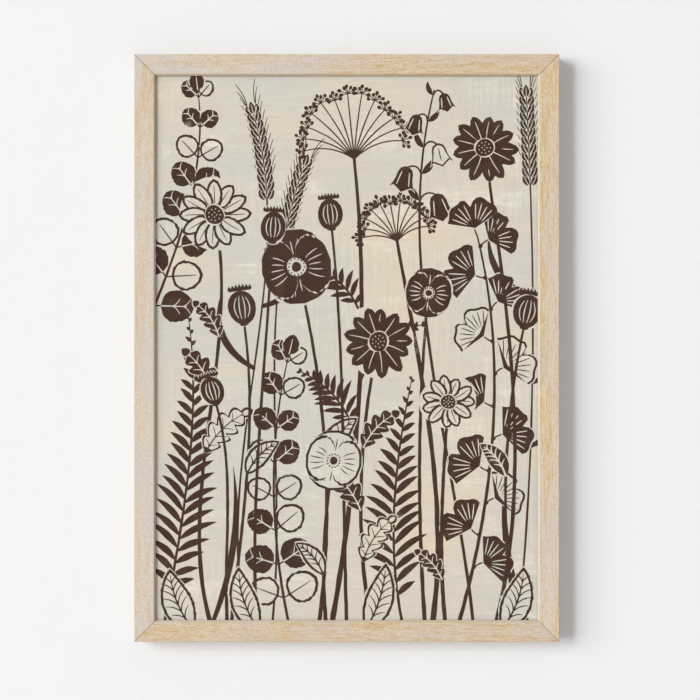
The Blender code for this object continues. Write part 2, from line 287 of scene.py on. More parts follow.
def ground_colour(s, place):
    """The mottled ground's colour, and its brush marks, which run across or up the sheet."""
    across = s.noise(s.stretch(place, (16, 1, 330), (5, 0, 9)), detail=4.0, rough=0.65)
    upward = s.noise(s.stretch(place, (330, 1, 16)), detail=4.0, rough=0.65)
    turn = s.noise(s.stretch(place, (9, 9, 9), (31, 0, 17)), detail=1.0)
    share = s.ramp(turn, 0.44, 0.56)
    rest = s.math("SUBTRACT", 1.0, share)
    brushed = s.math("ADD", s.math("MULTIPLY", across, share), s.math("MULTIPLY", upward, rest))
    marks = s.math("SUBTRACT", brushed, 0.5)

    # Grey, warm and light patches with dry edges, the light ones broken up by short dabs.
    edge = s.math("MULTIPLY", marks, 0.22)
    dry_edge = s.math("MULTIPLY", marks, 0.35)
    broad = s.noise(s.stretch(place, (5, 5, 8), (3, 0, 1)), detail=3.0)
    warm = s.noise(s.stretch(place, (6, 6, 13), (8, 0, 4)), detail=3.0, rough=0.55)
    light = s.noise(s.stretch(place, (8, 8, 24), (21, 0, 13)), detail=3.0, rough=0.55)
    dabs = s.noise(s.stretch(place, (75, 1, 170), (11, 0, 23)), detail=4.0, rough=0.7)
    colour = s.mix(s.ramp(s.math("ADD", broad, edge), 0.36, 0.62), PAPER_COOL, PAPER_GREY)
    colour = s.mix(s.ramp(s.math("ADD", warm, edge), 0.50, 0.74, 0.0, 0.85), colour, PAPER_WARM)
    lightened = s.ramp(s.math("ADD", light, dry_edge), 0.52, 0.74, 0.10, 1.0)
    flakes = s.math("MULTIPLY", lightened, s.ramp(dabs, 0.42, 0.66, 0.25, 1.0))
    colour = s.mix(flakes, colour, PAPER_LIGHT)

    marks = s.math("ADD", marks, s.math("MULTIPLY", s.math("SUBTRACT", dabs, 0.5), 0.6))
    return s.tone(colour, s.ramp(marks, -0.25, 0.25, 0.96, 1.04, smooth=False)), marks


def paper():
    """The sheet where it bears no ink."""
    s = Shader("printed_ground")
    colour, marks = ground_colour(s, s.place())
    relief = s.bump(marks, 0.03 * MM, 0.3)
    return s.set(Base_Color=colour, Roughness=0.85, Specular_IOR_Level=0.15, Normal=relief)


def ink():
    """Brown ink, uneven in tone, with a few dry patches where the ground shows through."""
    s = Shader("printed_ink")
    place = s.place()
    ground, _ = ground_colour(s, place)
    clouds = s.noise(s.stretch(place, (40, 40, 40)), detail=4.0, rough=0.7)
    grit = s.noise(s.stretch(place, (1100, 1, 1100)))
    dry = s.noise(s.stretch(place, (22, 1, 22), (7, 0, 2)))
    amount = s.math("ADD", s.ramp(clouds, 0.45, 0.75, 0.0, 0.40), s.ramp(grit, 0.5, 0.8, 0.0, 0.20))
    colour = s.mix(amount, INK_BROWN, INK_LIGHT)
    dryness = s.math("ADD", grit, s.ramp(dry, 0.60, 0.78, -0.30, 0.06))
    colour = s.mix(s.ramp(dryness, 0.50, 0.56, 0.0, 0.5), colour, ground)
    relief = s.bump(grit, 0.02 * MM, 0.3)
    return s.set(Base_Color=colour, Roughness=0.8, Specular_IOR_Level=0.10, Normal=relief)


BOARD_DARK = (0.17, 0.095, 0.05)
BOARD_PALE = (0.34, 0.21, 0.12)
BOARD_DULL = (0.25, 0.15, 0.085)


def hardboard():
    """The rough back of hardboard: matted fibres that bear the marks of a wire screen."""
    s = Shader("hardboard")
    place = s.place()
    fibres = s.noise(s.stretch(place, (600, 600, 600)), detail=5.0, rough=0.7, twist=1.5)
    clouds = s.noise(s.stretch(place, (12, 12, 12)), detail=3.0)
    x, _, z = s.split(place)
    screen_pitch = 1.6 * MM
    turns = 2 * math.pi / screen_pitch
    rows = s.math("SINE", s.math("MULTIPLY", x, turns))
    columns = s.math("SINE", s.math("MULTIPLY", z, turns))
    screen = s.math("MULTIPLY", rows, columns)
    colour = s.mix(s.ramp(fibres, 0.3, 0.7), BOARD_DARK, BOARD_PALE)
    colour = s.mix(s.ramp(clouds, 0.35, 0.7, 0.0, 0.4), colour, BOARD_DULL)
    under = s.bump(fibres, 0.15 * MM, 0.6)
    return s.set(Base_Color=colour, Roughness=0.78, Normal=s.bump(screen, 0.1 * MM, 0.5, under))


# Fittings.

HANGER_TINT = (0.66, 0.60, 0.48)
NAIL_TINT = (0.62, 0.60, 0.57)
TAB_TINT = (0.56, 0.56, 0.55)
RUBBER_BLACK = (0.02, 0.02, 0.021)
RUBBER_DUST = (0.09, 0.085, 0.08)


def steel(name, tint, seed):
    """Zinc-plated steel with rolling marks, dull blotches and a few scratches."""
    s = Shader(name)
    place = s.stretch(s.place(), (1, 1, 1), (seed, 0, 0))
    rolled = s.noise(s.stretch(place, (60, 900, 900)), detail=3.0)
    blotch = s.noise(s.stretch(place, (260, 260, 260)), detail=3.0)
    dullness = 0.72
    dull = tuple(dullness * c for c in tint)
    colour = s.mix(s.ramp(blotch, 0.35, 0.7), tint, dull)
    rough = s.math("ADD", s.ramp(rolled, 0.3, 0.7, 0.22, 0.36), s.ramp(blotch, 0.4, 0.7, 0.0, 0.14))
    return s.set(Base_Color=colour, Metallic=1.0, Roughness=rough, Normal=s.bump(rolled, 0.02 * MM, 0.5))


def rubber():
    """Soft black rubber with a little dust on it."""
    s = Shader("bumper_rubber")
    place = s.place()
    grain = s.noise(s.stretch(place, (2500, 2500, 2500)))
    dust = s.noise(s.stretch(place, (300, 300, 300)), detail=4.0)
    colour = s.mix(s.ramp(dust, 0.5, 0.8, 0.0, 0.5), RUBBER_BLACK, RUBBER_DUST)
    return s.set(Base_Color=colour, Roughness=0.6, Normal=s.bump(grain, 0.03 * MM, 0.4))


def dress_nodes():
    """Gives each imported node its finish. The left rail's heart shows at its upper end."""
    heart_inset, heart_reach, heart_fade = 15 * MM, 9 * MM, 110 * MM
    heart = (heart_inset - HALF_WIDTH, heart_reach, heart_fade)
    looks = {
        # Painted light and shade: the top and left chamfers lie in shade and lean to amber, the others
        # are lit and lean to pale grey.
        "rail_top": wood("wood_top", 0, 11.0, 0.12, 0.56, chamfer_light_shade_colour=WOOD_AMBER),
        "rail_bottom": wood("wood_bottom", 0, 23.0, 0.74, -0.16),
        "rail_left": wood("wood_left", 2, 37.0, -0.04, 0.14, heart=heart, chamfer_light_shade_colour=WOOD_AMBER),
        "rail_right": wood("wood_right", 2, 53.0, 0.34, 0.32, 1.045),
        "glass_pane": glass(),
        "backing_board": hardboard(),
        "sawtooth_hanger": steel("hanger_steel", HANGER_TINT, 2.0),
    }
    nails = steel("nail_steel", NAIL_TINT, 4.0)
    tabs = steel("tab_steel", TAB_TINT, 6.0)
    soft = rubber()
    for name, thing in NODES.items():
        if name in looks:
            finish = looks[name]
        elif name.startswith("bumper"):
            finish = soft
        elif name.startswith("spring_tab"):
            finish = tabs
        else:
            finish = nails
        thing.data.materials.clear()
        thing.data.materials.append(finish)


# The drawing: flat areas in millimetres on the sheet. A point is a complex number, u + 1j * v, with
# u to the right of the sheet's middle and v up from its lower edge.

INK, GROUND = 1, 0

# How wide the outline of an open shape is, and the bare margin that parts a shape from what it covers.
LINE = 2.6
HALO = 1.2
BROAD_HALO = 1.3


def bowed(start, end, sag, steps=12):
    """Points of a line that bows to its left by sag in the middle."""
    across = 1j * (end - start) / abs(end - start)
    control = (start + end) / 2 + 2 * sag * across
    shares = [i / steps for i in range(steps + 1)]
    return [start * (1 - t) ** 2 + 2 * control * t * (1 - t) + end * t * t for t in shares]


def swaying(start, end, lean_start, lean_end, steps=40):
    """A stem that leaves one point and reaches the other at these degrees to the left of straight up."""
    pull = abs(end - start) / 3
    first = start + cmath.rect(pull, math.radians(90 + lean_start))
    second = end - cmath.rect(pull, math.radians(90 + lean_end))
    line = []
    for i in range(steps + 1):
        t = i / steps
        s = 1 - t
        line.append(start * s**3 + 3 * first * s * s * t + 3 * second * s * t * t + end * t**3)
    return line


def length_of(line):
    """How far it is along a line."""
    return sum(abs(b - a) for a, b in zip(line, line[1:]))


def spot(line, share):
    """The point at that share of a line, and the direction there."""
    place = share * (len(line) - 1)
    i = min(int(place), len(line) - 2)
    step = line[i + 1] - line[i]
    return line[i] + step * (place - i), step / abs(step)


def part_of(line, start, end, steps):
    """The stretch of a line between two shares of it."""
    return [spot(line, start + (end - start) * i / steps)[0] for i in range(steps + 1)]


def turned(direction, degrees):
    """A direction turned to the left."""
    return direction * cmath.rect(1, math.radians(degrees))


def grown(outline, centre, more):
    """An outline pushed away from a centre."""
    return [p + (p - centre) / abs(p - centre) * more for p in outline]


class Drawing:
    """Areas of ink and of bare ground, the later on top."""

    def __init__(self, seed):
        self.areas = []
        self.random = random.Random(seed)

    def about(self, value, share=0.12):
        """A value that is off by chance, by up to that share of it."""
        return value * (1 + self.random.uniform(-share, share))

    def area(self, outline, kind=INK):
        self.areas.append((outline, kind))

    def tremble(self, amount):
        """The unsteadiness of a brush, as a factor that depends on the distance run."""
        first, second = self.about(1.1, 0.3), self.about(0.45, 0.3)
        a, b = self.random.uniform(0, math.tau), self.random.uniform(0, math.tau)

        def factor(run):
            return 1 + amount * (0.6 * math.sin(first * run + a) + 0.4 * math.sin(second * run + b))

        return factor

    def ribbon(self, line, half_width, amount):
        """The two sides of a band about a line, with half_width giving its reach at each share."""
        left, right = [], []
        wobble_left, wobble_right = self.tremble(amount), self.tremble(amount)
        last, run = len(line) - 1, 0.0
        for i, point in enumerate(line):
            before, after = line[max(i - 1, 0)], line[min(i + 1, last)]
            run += abs(point - before)
            reach = 1j * (after - before) / abs(after - before) * half_width(i / last)
            left.append(point + reach * wobble_left(run))
            right.append(point - reach * wobble_right(run))
        return left, right

    def stroke(self, line, widths, kind=INK, amount=0.14):
        """A brush stroke. Its widths are those at the start, in the middle and at the end."""
        start, middle, end = widths

        def half_width(t):
            near = start if t < 0.5 else end
            return (near + (middle - near) * math.sin(math.pi * t)) / 2

        left, right = self.ribbon(line, half_width, amount)
        head, tail = line[-1] - line[-2], line[0] - line[1]
        tip = line[-1] + head / abs(head) * end * 0.4
        heel = line[0] + tail / abs(tail) * start * 0.4
        self.area(right + [tip] + left[::-1] + [heel], kind)

    def leaf_outline(self, line, width, full, amount=0.06):
        """A leaf about its midline, widest before the middle. A smaller full makes it rounder."""
        left, right = self.ribbon(line, lambda t: width / 2 * bulge(t, full), amount)
        return right + left[-2:0:-1]

    def leaf(self, base, tip, width, sag=0.0, full=0.85, solid=True, halo=HALO, rib=1.1, steps=12):
        """A solid leaf with a bare rib, or an outlined one with a rib of ink."""
        line = bowed(base, tip, sag, steps)
        if halo:
            far = tip + (tip - base) / abs(tip - base) * halo
            self.area(self.leaf_outline(bowed(base, far, sag, 8), width + 2 * halo, full), GROUND)
        self.area(self.leaf_outline(line, width, full))
        if not solid:
            inner = part_of(line, 0.08, 0.90, steps)
            self.area(self.leaf_outline(inner, width - 2 * LINE, full), GROUND)
        if rib:
            kind = GROUND if solid else INK
            self.stroke(part_of(line, 0.02, 0.78, 6), (rib * 1.2, rib, rib * 0.5), kind)

    def blob(self, centre, long, short, along=1, kind=INK, count=14, amount=0.05):
        """A round spot, longer along one direction."""
        a, b = self.random.uniform(0, math.tau), self.random.uniform(0, math.tau)
        outline = []
        for i in range(count):
            angle = math.tau * i / count
            size = 1 + amount * (math.sin(2 * angle + a) + 0.6 * math.sin(3 * angle + b))
            offset = complex(long * math.cos(angle), short * math.sin(angle)) * size
            outline.append(centre + along * offset)
        self.area(outline, kind)


def bulge(share, full):
    """How wide a leaf is along its length, as a share of its greatest width."""
    return math.sin(math.pi * share**0.85) ** full if 0 < share < 1 else 0.0


# Plants.

def fern(d, line, reach, pitch=13.0, width=7.4, start=0.12, stem=(3.4, 2.6, 1.0)):
    """A frond: pairs of solid leaflets that shrink towards the tip."""
    end = 0.985
    length = length_of(line)
    count = int(length * (end - start) / pitch)
    d.stroke(line, stem)
    for i in range(count + 1):
        t = start + (end - start) * i / count
        swell = min(1.0, (t - start + 0.10) / 0.25) ** 0.7
        size = max(reach * swell * (1 - (t - start) / (1 - start)) ** 0.8, 5.0)
        for side, ahead_share in ((1, 0.3 * pitch / length), (-1, 0.0)):
            point, ahead = spot(line, min(t + ahead_share, 0.995))
            away = turned(ahead, side * d.about(62 - 22 * t, 0.08))
            long = d.about(size, 0.08)
            wide = min(width, 2.6 + 0.18 * long)
            d.leaf(point, point + away * long, wide, -side * 0.07 * long, rib=0, halo=0, steps=9)


def side_veins(d, base, away, size):
    """Two pairs of bare veins on a solid round leaf."""
    for share in (0.72, 1.36):
        root = base + away * size * share
        for side in (1, -1):
            tip = root + turned(away, side * 48) * size * 0.62
            d.stroke(bowed(root, tip, -side * size * 0.06, 4), (1.0, 0.9, 0.4), GROUND)


def round_leaves(d, line, first, last, pitch=29.0, start=0.1, open_share=0.5):
    """A branch with pairs of round leaves, some solid and some outlined."""
    end = 0.97
    count = int(length_of(line) * (end - start) / pitch)
    d.stroke(line, (3.2, 2.4, 1.2))
    for i in range(count + 1):
        share = i / count
        radius = first + (last - first) * share
        for side in (1, -1):
            point, ahead = spot(line, start + (end - start) * share)
            away = turned(ahead, side * d.about(64 - 20 * share, 0.12))
            base = point + away * radius * 0.35
            d.stroke([point, base + away], (1.6, 1.6, 1.6))
            solid = d.random.random() > open_share
            size = d.about(radius, 0.08)
            d.leaf(base, base + away * 2 * size, 1.9 * size, 0, 0.52, solid, rib=1.3, steps=14)
            if solid:
                side_veins(d, base, away, size)
    point, ahead = spot(line, 1.0)
    d.leaf(point, point + ahead * 2 * last, 1.6 * last, 0, 0.6, rib=1.0)


def daisy(d, centre, radius, count, solid=True):
    """A flower head from the front."""
    d.blob(centre, radius * 1.02, radius * 1.02, kind=GROUND, count=24)
    width = math.tau * radius / count * 0.88
    for i in range(count):
        away = cmath.rect(1, math.tau * i / count + d.random.uniform(-0.06, 0.06))
        inner, outer = centre + away * radius * 0.2, centre + away * d.about(radius, 0.07)
        sag = d.random.uniform(-1.5, 1.5)
        d.leaf(inner, outer, width, sag, 0.5, solid, halo=0, rib=1.0, steps=10)
    eye = radius * 0.27
    d.blob(centre, eye + HALO, eye + HALO, kind=GROUND, count=16)
    d.blob(centre, eye, eye, count=16)
    for ring, dots in ((0.62, 9), (0.25, 4)):
        for i in range(dots):
            d.blob(centre + cmath.rect(eye * ring, math.tau * i / dots), 0.7, 0.7, kind=GROUND, count=6)


def umbel(d, top, ahead, reach, rays, spread=150):
    """Rays from the top of a stem, each with a small burst of its own that ends in dots."""
    dots_a_side, dot_angle = 3, 31
    for i in range(rays):
        share = i / (rays - 1) * 2 - 1
        away = turned(ahead, -share * spread / 2)
        tip = top + away * reach * (1 - 0.16 * share * share) * d.about(1, 0.07)
        d.stroke(bowed(top, tip, share * reach * 0.09, 8), (1.8, 1.5, 1.2))
        for j in range(-dots_a_side, dots_a_side + 1):
            small = turned(away, j * dot_angle + d.random.uniform(-6, 6))
            end = tip + small * d.about(6.5 if j % 2 else 8.5)
            d.stroke([tip, (tip + end) / 2, end], (1.0, 1.0, 1.0))
            d.blob(end, d.about(2.3), d.about(2.0), small, count=8)


def wheat(d, line, ear=95.0, pitch=8.5):
    """A stem with an ear of grains in two rows, each with its bristle."""
    d.stroke(line, (2.6, 2.1, 1.4))
    start = 1 - ear / length_of(line)
    count = int(ear / pitch)
    grain_width, grain_angle = 6.6, 24
    bristle_angle, bristle_past = 15, 26
    for i in range(count + 1):
        for side in (1, -1):
            point, ahead = spot(line, start + (1 - start) * i / count)
            away = turned(ahead, side * d.about(grain_angle))
            long = d.about(14.0 - 2.5 * i / count, 0.06)
            base = point + turned(ahead, side * 80) * 1.3
            bristle = base + turned(ahead, side * bristle_angle) * (long + bristle_past)
            d.stroke(bowed(base + away * long * 0.8, bristle, -side * 2, 5), (1.1, 1.0, 0.7))
            d.leaf(base, base + away * long, grain_width, side, 0.75, halo=0.8, rib=0.8, steps=8)
    point, ahead = spot(line, 1.0)
    d.leaf(point, point + ahead * 14, grain_width, 0, 0.75, halo=0.8, rib=0.8, steps=8)


def bell_outline(top, ahead, size, grow=0.0):
    """A bell from its narrow top to a rim with three points. Grow pushes it out all round, or in."""
    across = 1j * ahead
    half_widths = ((0.0, 0.06), (0.10, 0.25), (0.30, 0.34), (0.55, 0.37), (0.80, 0.45), (1.0, 0.56))
    rim = ((0.88, 0.40), (1.0, 0.20), (1.14, 0.0), (1.0, -0.20), (0.88, -0.40))
    side = [(s * size + grow * min(4 * s - 1, 1), max(w * size + grow, 0.3)) for s, w in half_widths]
    left = [top + ahead * s + across * w for s, w in side]
    right = [top + ahead * s - across * w for s, w in reversed(side)]
    return left + [top + ahead * (s * size + grow) + across * w * size for s, w in rim] + right


def bell(d, top, ahead, size, solid):
    """A flower that hangs along a direction."""
    across = 1j * ahead
    d.area(bell_outline(top, ahead, size, BROAD_HALO), GROUND)
    d.area(bell_outline(top, ahead, size))
    folds = (-0.17, 0.17) if solid else (0.0,)
    if not solid:
        d.area(bell_outline(top, ahead, size, -0.8 * LINE), GROUND)
    for share in folds:
        start = top + (ahead * 0.26 + across * share) * size
        end = top + (ahead * 0.84 + across * share * 1.6) * size
        d.stroke(bowed(start, end, 0, 4), (0.8, 1.3, 0.8), GROUND if solid else INK)


def bellflower(d, line, first, last, count, start):
    """A stem with bells that hang from short stalks on either side."""
    d.stroke(line, (3.8, 3.0, 1.6))
    for i in range(count):
        share = i / (count - 1)
        side = 1 if i % 2 else -1
        point, ahead = spot(line, start + (0.99 - start) * share)
        top = point + turned(ahead, side * 66) * (19 - 8 * share)
        size = first + (last - first) * share
        hang = turned(-1j, -side * 14)
        bract = point + turned(ahead, side * -34) * size * 0.9
        d.leaf(point, bract, size * 0.3, side * -2, halo=0.8, rib=0, steps=8)
        bell(d, top, hang, size, i % 3 != 2)
        d.stroke(bowed(point, top + hang * 1.5, side * -5.0, 6), (2.1, 1.9, 1.8))


def pod(d, base, ahead, size):
    """A seed pod with ribs and a toothed crown."""
    across = 1j * ahead
    centre = base + ahead * size * 0.62
    long, short = size * 0.62, size * 0.50
    d.blob(centre, long + BROAD_HALO, short + BROAD_HALO, ahead, GROUND, 18)
    d.blob(centre, long, short, ahead, count=18, amount=0.025)
    for share in (-0.55, -0.2, 0.2, 0.55):
        reach = ahead * size * 0.43 * (1 - 0.3 * abs(share))
        middle = centre + across * size * 0.30 * share
        rib = bowed(middle - reach, middle + reach, size * 0.20 * share, 6)
        d.stroke(rib, (0.6, 1.2, 0.6), GROUND)
    top = centre + ahead * size * 0.60
    teeth = 7
    crown = [top - across * size * 0.40]
    for i in range(2 * teeth + 1):
        share = i / teeth - 1
        lift = (0.26 if i % 2 else 0.13) * size * (1 - 0.3 * share * share)
        crown.append(top + across * share * size * 0.44 + ahead * lift)
    crown.append(top + across * size * 0.40)
    d.area(grown(crown, centre, HALO), GROUND)
    d.area(crown)
    d.blob(base + ahead * size * 0.02, size * 0.07, size * 0.17, ahead, count=10)


def poppy(d, centre, radius, up, solid):
    """An open flower with four broad petals around a dark eye."""
    d.blob(centre, radius, radius * 0.92, up, GROUND, 24)
    width, full, wobble = radius * 1.5, 0.42, 0.05
    for degrees, size in ((180, 0.98), (0, 1.0), (88, 0.92), (-92, 0.92)):
        away = turned(up, degrees)
        reach = radius * size
        line = bowed(centre, centre + away * reach, 0, 14)
        d.area(d.leaf_outline(line, width + 2.0, full, wobble), GROUND)
        d.area(d.leaf_outline(line, width, full, wobble))
        if not solid:
            inner = bowed(centre, centre + away * (reach - LINE), 0, 14)
            d.area(d.leaf_outline(inner, width - 2 * LINE, full, wobble), GROUND)
        for fan in (-34, -17, 0, 17, 34):
            start = centre + turned(away, fan) * radius * 0.34
            end = centre + turned(away, fan * 0.9) * radius * d.about(0.72, 0.1)
            d.stroke(bowed(start, end, fan * 0.03, 5), (0.5, 1.2, 0.4), GROUND if solid else INK)
    d.blob(centre, radius * 0.25, radius * 0.25, kind=GROUND, count=16)
    d.blob(centre, radius * 0.13, radius * 0.13, count=12)
    stamens = 14
    for i in range(stamens):
        where = centre + cmath.rect(radius * d.about(0.21, 0.08), math.tau * i / stamens)
        d.blob(where, 1.0, 1.0, count=6)


def fan_outline(root, ahead, radius, grow=0.0, inner=0.0):
    """A fan-shaped leaf with a rippled edge and a notch in its middle."""
    outline = [root + ahead * inner]
    steps, half_turn = 18, 68
    for i in range(steps + 1):
        share = i / steps * 2 - 1
        notch = 0.30 * math.exp(-((share / 0.10) ** 2))
        ripple = 0.035 * math.sin(share * 13)
        reach = radius * (1 - notch + ripple) * (1 - 0.10 * abs(share) ** 3) + grow
        outline.append(root + turned(ahead, share * half_turn) * reach)
    return outline


def fan_leaf(d, base, ahead, radius, solid, stalk=12.0):
    """A fan-shaped leaf on its stalk, with veins that spread from its root."""
    root = base + ahead * stalk
    d.stroke(bowed(base, root + ahead * 2, 1.0, 5), (1.8, 1.6, 1.8))
    d.area(fan_outline(root, ahead, radius, BROAD_HALO, -BROAD_HALO), GROUND)
    d.area(fan_outline(root, ahead, radius))
    if not solid:
        d.area(fan_outline(root, ahead, radius, -LINE, 2 * LINE), GROUND)
    veins_a_side, vein_angle = 4, 14
    for i in range(-veins_a_side, veins_a_side + 1):
        if i or not solid:
            away = turned(ahead, i * vein_angle)
            start, end = root + away * radius * 0.30, root + away * radius * d.about(0.80, 0.06)
            d.stroke(bowed(start, end, 0, 4), (0.5, 1.2, 0.8), GROUND if solid else INK)


def fan_twig(d, line, radius, pitch=34.0, start=0.15, solid_share=0.6):
    """A twig with fan-shaped leaves on alternate sides."""
    end = 0.97
    count = int(length_of(line) * (end - start) / pitch)
    d.stroke(line, (4.4, 3.2, 1.8))
    for i in range(count + 1):
        point, ahead = spot(line, start + (end - start) * i / count)
        away = turned(ahead, (1 if i % 2 else -1) * d.about(58, 0.15))
        d.blob(point + away, 2.8, 2.2, away, count=8)
        fan_leaf(d, point, away, d.about(radius, 0.1), d.random.random() < solid_share)
    point, ahead = spot(line, 1.0)
    fan_leaf(d, point, ahead, radius, True, 8.0)


def broad_leaf(d, base, tip, width, sag=0.0, solid=False):
    """A large leaf with side veins."""
    full, wobble = 0.8, 0.04
    veins = 6 if abs(tip - base) > 60 else 5
    line = bowed(base, tip, sag, 22)
    far = tip + (tip - base) / abs(tip - base) * 1.5
    d.area(d.leaf_outline(bowed(base, far, sag, 20), width + 3, full), GROUND)
    d.area(d.leaf_outline(line, width, full, wobble))
    if not solid:
        inner = part_of(line, 0.05, 0.94, 20)
        d.area(d.leaf_outline(inner, width - 2.2 * LINE, full, wobble), GROUND)
    kind = GROUND if solid else INK
    d.stroke(part_of(line, 0.0, 0.9, 10), (2.2, 1.8, 0.8), kind)
    for i in range(1, veins + 1):
        share = 0.10 + 0.68 * i / veins
        point, ahead = spot(line, share)
        reach = width / 2 * bulge(share, full)
        for side in (1, -1):
            end = point + turned(ahead, side * 46) * reach * 1.12
            d.stroke(bowed(point, end, -side * reach * 0.12, 5), (1.5, 1.3, 0.5), kind)


def lobed_outline(line, width, lobes, grow=0.0):
    """A leaf with deep round lobes, which point a little forward."""
    left, right = [], []
    last = len(line) - 1
    shallow = 0.42
    for i in range(3, last):
        share = i / last
        lobe = shallow + (1 - shallow) * abs(math.sin(lobes * math.pi * (share - 0.04))) ** 0.7
        half = width / 2 * math.sin(math.pi * share**0.8) ** 0.7 * lobe + grow
        ahead = (line[i + 1] - line[i - 1]) / abs(line[i + 1] - line[i - 1])
        forward = ahead * half * 0.45 * (lobe - shallow)
        left.append(line[i] + 1j * ahead * half + forward)
        right.append(line[i] - 1j * ahead * half + forward)
    return [line[0]] + right + [line[-1] + spot(line, 1.0)[1] * grow] + left[::-1]


def lobed_leaf(d, base, tip, width, sag, solid, lobes=5):
    """A lobed leaf with a pair of veins to each pair of lobes."""
    line = bowed(base, tip, sag, 12 * lobes)
    d.area(lobed_outline(line, width, lobes, HALO), GROUND)
    d.area(lobed_outline(line, width, lobes))
    if not solid:
        d.area(lobed_outline(line, width, lobes, -LINE)[3:-2], GROUND)
    kind = GROUND if solid else INK
    d.stroke(part_of(line, 0.02, 0.86, 10), (1.6, 1.3, 0.6), kind)
    first, span = 0.08, 0.86
    for i in range(lobes):
        point, ahead = spot(line, first + (i + 0.25) / lobes * span)
        reach = width * 0.40 * bulge(first + (i + 0.5) / lobes * span, 0.7)
        for side in (1, -1):
            end = point + turned(ahead, side * 52) * reach
            d.stroke(bowed(point, end, -side * 0.6, 4), (1.1, 0.9, 0.5), kind)


def blade(d, base, tip, sag, width):
    """A blade of grass."""
    d.stroke(bowed(base, tip, sag, 18), (width * 0.6, width, 0.4), amount=0.06)


# Whole plants. Each takes its foot, its top and how far its stem leans at both. A leaf of a stem is
# given as its share of the way up, its side, its size and whether it is solid.

def stem_with(d, foot, top, leans, widths, leaves=(), leaf=None):
    """A stem and its leaves. Returns the stem's line and its direction at the top."""
    stem = swaying(foot, top, *leans)
    d.stroke(stem, widths)
    for share, side, size, solid in leaves:
        point, ahead = spot(stem, share)
        tip = point + turned(ahead, side * 41) * size
        leaf(d, point, tip, size * 0.44, -side * size * 0.10, solid)
    return stem, spot(stem, 1.0)[1]


def daisy_plant(d, foot, head, leans, radius, petals, solid, leaves=()):
    """A daisy on its stem, with lobed leaves."""
    stem_with(d, foot, head, leans, (4.8, 3.8, 3.0), leaves, lobed_leaf)
    daisy(d, head, radius, petals, solid)


def pod_plant(d, foot, top, leans, size, leaves=()):
    """A seed pod on its stem, with broad leaves."""
    _, ahead = stem_with(d, foot, top, leans, (4.0, 3.2, 2.6), leaves, broad_leaf)
    pod(d, top, ahead, size)


def poppy_plant(d, foot, head, leans, radius, solid, leaves=()):
    """A poppy on its stem, with broad leaves."""
    _, ahead = stem_with(d, foot, head, leans, (4.6, 3.6, 2.8), leaves, broad_leaf)
    poppy(d, head, radius, ahead, solid)


def wheat_plant(d, foot, top, leans, blades=()):
    """An ear on its stem. A blade is given as its share of the way up, its side and its length."""
    stem = swaying(foot, top, *leans)
    for share, side, size in blades:
        point, ahead = spot(stem, share)
        blade(d, point, point + turned(ahead, side * 34) * size, side * size * 0.18, 7.5)
    wheat(d, stem)


def umbel_plant(d, foot, top, leans, reach, rays, sprays=()):
    """An umbel on its stem, with feathery leaves that are given as the blades of wheat are."""
    stem, ahead = stem_with(d, foot, top, leans, (6.0, 4.8, 3.2))
    for share, side, size in sprays:
        point, forward = spot(stem, share)
        tip = point + turned(forward, side * 44) * size
        spray = bowed(point, tip, -side * size * 0.12, 24)
        fern(d, spray, size * 0.38, pitch=8.4, width=5.8, start=0.2, stem=(3.0, 2.4, 1.2))
    umbel(d, top, ahead, reach, rays)


def meadow():
    """The whole drawing, from the back to the front."""
    d = Drawing(seed=5)
    for foot, tip, sag in ((-146, -122 + 170j, -12), (196, 172 + 170j, 12)):
        blade(d, foot - 2j, tip, sag, 7)
    wheat_plant(d, -108, -100 + 548j, (12, 16), ((0.50, 1, 84), (0.62, -1, 70)))
    wheat_plant(d, 184, 193 + 566j, (-6, 3), ((0.34, -1, 44), (0.46, -1, 70), (0.62, 1, 84)))
    wheat_plant(d, -80, -46 + 492j, (-6, -20))
    round_leaves(d, swaying(-216 + 318j, -160 + 574j, -22, 8), 18, 10)
    umbel_plant(d, -16, 8 + 500j, (-10, 6), 68, 13, ((0.40, 1, 94), (0.52, -1, 92), (0.66, 1, 74)))
    umbel_plant(d, 92, 54 + 412j, (-8, 10), 42, 11)
    fern(d, swaying(-196, -170 + 330j, -10, 8), 50)
    bellflower(d, swaying(136, 94 + 574j, 6, -14), 27, 18, 5, 0.79)
    fan_twig(d, swaying(120, 140 + 418j, -16, 14), 33)
    fern(d, swaying(60, 70 + 264j, 12, -12), 50)
    leaves = ((0.42, -1, 70, False), (0.56, 1, 60, True), (0.70, 1, 48, True))
    daisy_plant(d, -146, -142 + 440j, (16, 12), 38, 12, False, leaves)
    daisy_plant(d, 160, 148 + 512j, (-14, 8), 36, 13, True)
    round_leaves(d, swaying(-62, -62 + 290j, 12, -14), 17, 11, pitch=32, open_share=0.4)
    poppy_plant(d, -30, -54 + 384j, (-8, 14), 41, True, ((0.46, -1, 56, False),))
    pod_plant(d, 0, -16 + 424j, (2, 6), 27)
    leaves = ((0.22, -1, 62, False), (0.40, 1, 60, True), (0.62, -1, 56, True))
    daisy_plant(d, 26, 34 + 304j, (10, -12), 38, 13, True, leaves)
    poppy_plant(d, 84, 88 + 356j, (4, -6), 27, True)
    pod_plant(d, 182, 190 + 318j, (10, -12), 30, ((0.50, 1, 44, True),))
    pod_plant(d, -124, -110 + 322j, (-6, 8), 30, ((0.50, -1, 50, False),))
    pod_plant(d, -97, -80 + 410j, (3, -3), 27)
    pod_plant(d, -128, -140 + 236j, (4, 16), 25)
    daisy_plant(d, 106, 109 + 239j, (6, -4), 29, 11, False, ((0.20, 1, 44, True),))
    poppy_plant(d, -22, -14 + 176j, (6, -10), 33, False, ((0.30, 1, 46, False),))
    for foot, tip, width, sag in (
        (-164, -190 + 60j, 34, 6),
        (-94, -116 + 62j, 30, 6),
        (20, 42 + 66j, 31, -5),
        (166, 190 + 62j, 33, -6),
    ):
        broad_leaf(d, foot - 6j, tip, width, sag)
    return d.areas


# The print.

